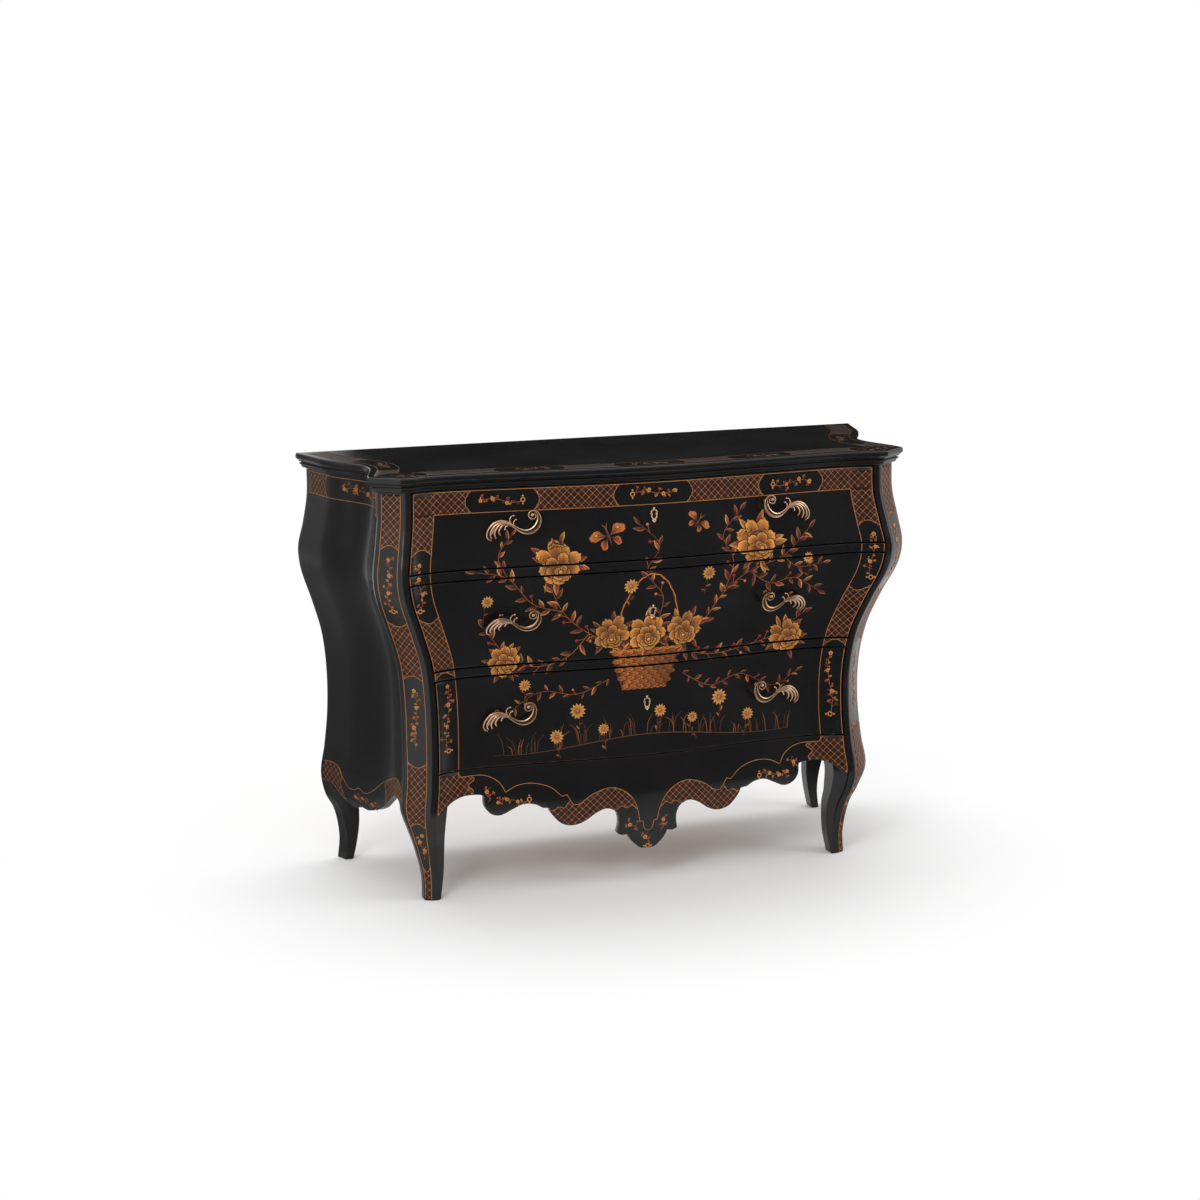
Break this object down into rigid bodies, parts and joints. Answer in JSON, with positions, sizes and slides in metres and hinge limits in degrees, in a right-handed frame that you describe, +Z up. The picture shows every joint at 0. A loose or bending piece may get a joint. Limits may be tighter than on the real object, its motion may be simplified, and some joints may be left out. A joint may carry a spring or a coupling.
{
  "type": "commode chest of drawers",
  "caption": "Bombe commode with swelling drawer fronts, canted corner posts on cabriole legs, a moulded serpentine top and scroll pulls.",
  "frame": {"origin": "centre of the bounding box's base, on the floor", "axes": "+X along the width, to the right for someone facing the drawers; -Y out of the drawer fronts; +Z up"},
  "size_m": [1.2944, 0.4546, 0.9],
  "materials": {
    "black_lacquer": "gloss black lacquer with painted gold decoration",
    "antique_brass": "antiqued cast brass with pale worn highlights",
    "steel": "plain screws",
    "drawer_wood": "bare sanded drawer boards",
    "case_wood": "unfinished inner boards"
  },
  "bodies": {
    "case": {"moulded_top": "black_lacquer", "right_front_post": "black_lacquer", "left_front_post": "black_lacquer", "right_back_post": "black_lacquer", "left_back_post": "black_lacquer", "right_side_panel": "black_lacquer", "left_side_panel": "black_lacquer", "back_panel": "case_wood", "top_stretcher": "case_wood", "upper_front_rail": "black_lacquer", "lower_front_rail": "black_lacquer", "front_apron": "black_lacquer", "right_top_runner": "case_wood", "left_top_runner": "case_wood", "right_middle_runner": "case_wood", "left_middle_runner": "case_wood", "right_bottom_runner": "case_wood", "left_bottom_runner": "case_wood"},
    "top_drawer": {"top_drawer_front": "black_lacquer", "right_top_drawer_box_side": "drawer_wood", "left_top_drawer_box_side": "drawer_wood", "top_drawer_box_back": "drawer_wood", "top_drawer_box_bottom": "drawer_wood", "top_drawer_right_pull": "antique_brass", "top_drawer_left_pull": "antique_brass", "top_drawer_escutcheon": "antique_brass", "top_drawer_right_pull_screw_1": "steel", "top_drawer_right_pull_screw_2": "steel", "top_drawer_left_pull_screw_1": "steel", "top_drawer_left_pull_screw_2": "steel"},
    "middle_drawer": {"middle_drawer_front": "black_lacquer", "right_middle_drawer_box_side": "drawer_wood", "left_middle_drawer_box_side": "drawer_wood", "middle_drawer_box_back": "drawer_wood", "middle_drawer_box_bottom": "drawer_wood", "middle_drawer_right_pull": "antique_brass", "middle_drawer_left_pull": "antique_brass", "middle_drawer_escutcheon": "antique_brass", "middle_drawer_right_pull_screw_1": "steel", "middle_drawer_right_pull_screw_2": "steel", "middle_drawer_left_pull_screw_1": "steel", "middle_drawer_left_pull_screw_2": "steel"},
    "bottom_drawer": {"bottom_drawer_front": "black_lacquer", "right_bottom_drawer_box_side": "drawer_wood", "left_bottom_drawer_box_side": "drawer_wood", "bottom_drawer_box_back": "drawer_wood", "bottom_drawer_box_bottom": "drawer_wood", "bottom_drawer_right_pull": "antique_brass", "bottom_drawer_left_pull": "antique_brass", "bottom_drawer_escutcheon": "antique_brass", "bottom_drawer_right_pull_screw_1": "steel", "bottom_drawer_right_pull_screw_2": "steel", "bottom_drawer_left_pull_screw_1": "steel", "bottom_drawer_left_pull_screw_2": "steel"}
  },
  "joints": [
    {"name": "top_drawer_slide", "type": "slide", "parent": "case", "child": "top_drawer", "axis": [0, -1, 0], "range_m": [0, 0.26]},
    {"name": "middle_drawer_slide", "type": "slide", "parent": "case", "child": "middle_drawer", "axis": [0, -1, 0], "range_m": [0, 0.26]},
    {"name": "bottom_drawer_slide", "type": "slide", "parent": "case", "child": "bottom_drawer", "axis": [0, -1, 0], "range_m": [0, 0.26]}
  ]
}
